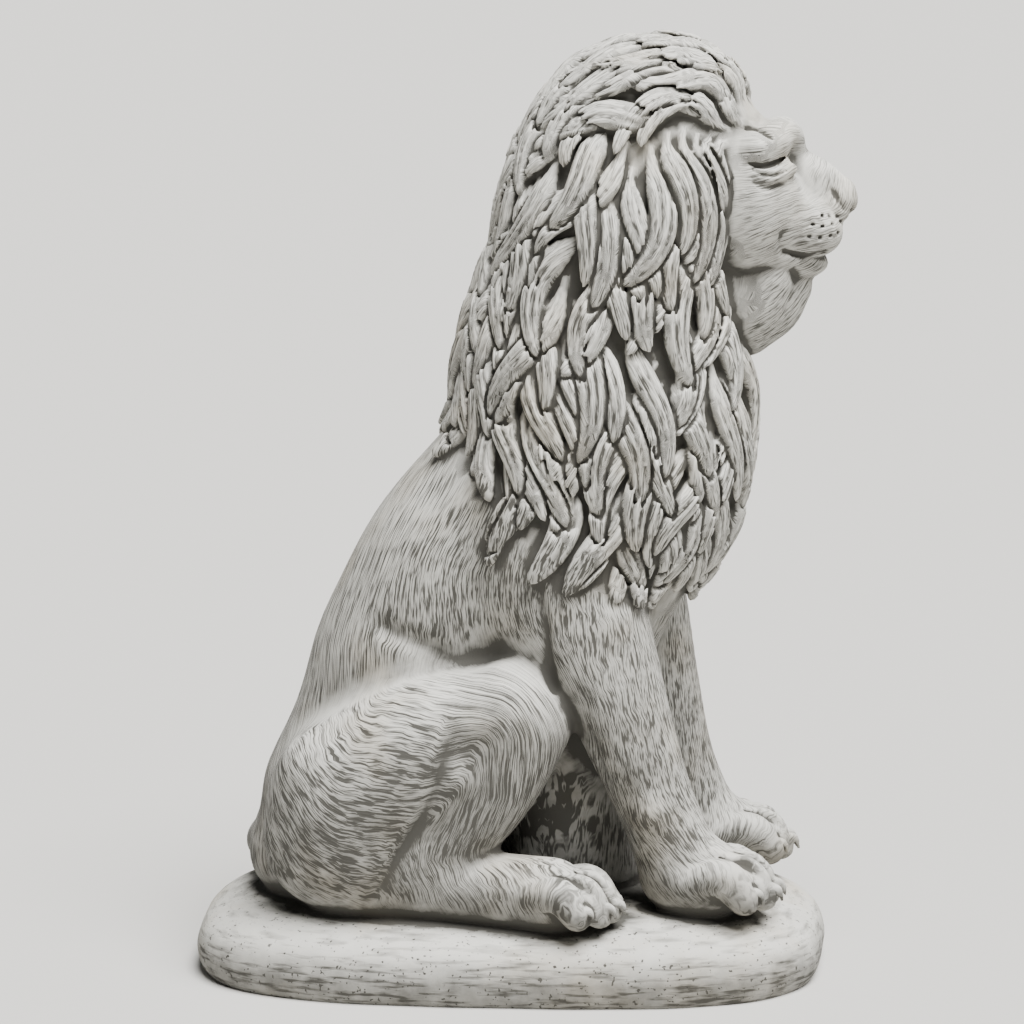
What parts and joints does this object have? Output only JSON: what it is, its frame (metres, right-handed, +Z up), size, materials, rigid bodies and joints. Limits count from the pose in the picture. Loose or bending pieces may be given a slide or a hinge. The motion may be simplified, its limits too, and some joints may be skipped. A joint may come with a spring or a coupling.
{
  "type": "lion garden statue",
  "caption": "Seated lion with a full carved mane, cast in pale stone in one piece with a low rounded base, for standing in a garden.",
  "frame": {"origin": "middle of the base's flat underside", "axes": "+Z up, +X the way the lion faces, -Y its right side"},
  "size_m": [0.3546, 0.2293, 0.5079],
  "materials": {
    "cast_stone": "weathered, matt"
  },
  "bodies": {
    "root": {"lion_statue": "cast_stone"}
  },
  "joints": []
}
